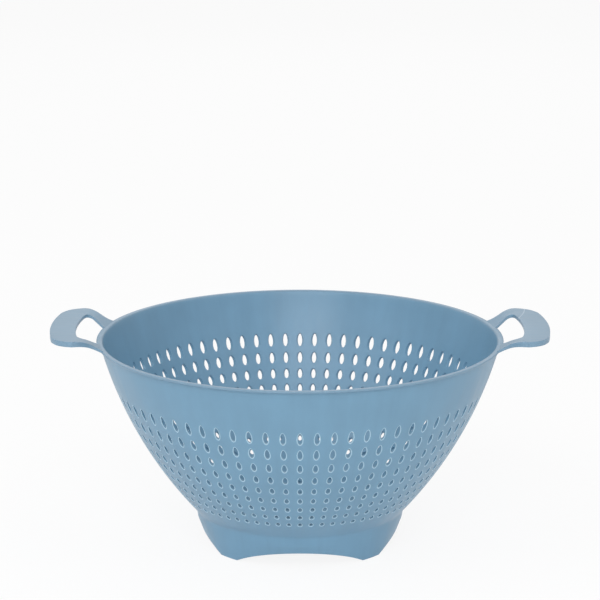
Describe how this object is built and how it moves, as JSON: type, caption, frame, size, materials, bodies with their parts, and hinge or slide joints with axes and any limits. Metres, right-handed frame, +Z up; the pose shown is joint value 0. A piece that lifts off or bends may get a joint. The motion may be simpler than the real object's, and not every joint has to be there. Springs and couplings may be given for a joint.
{
  "type": "colander",
  "caption": "Round slotted colander with a flanged rim, two raised loop handles and an arched foot ring.",
  "frame": {"origin": "centre of the circle the foot ring stands on, at the ground", "axes": "+Z up along the bowl's axis, +X through the right handle, +Y away from the viewer"},
  "size_m": [0.301, 0.247, 0.1335],
  "materials": {
    "moulded_plastic": "satin polypropylene, light greyish blue"
  },
  "bodies": {
    "root": {"rim": "moulded_plastic", "upper_band": "moulded_plastic", "strainer_wall": "moulded_plastic", "base_floor": "moulded_plastic", "foot_ring": "moulded_plastic", "right_handle": "moulded_plastic", "left_handle": "moulded_plastic"}
  },
  "joints": []
}
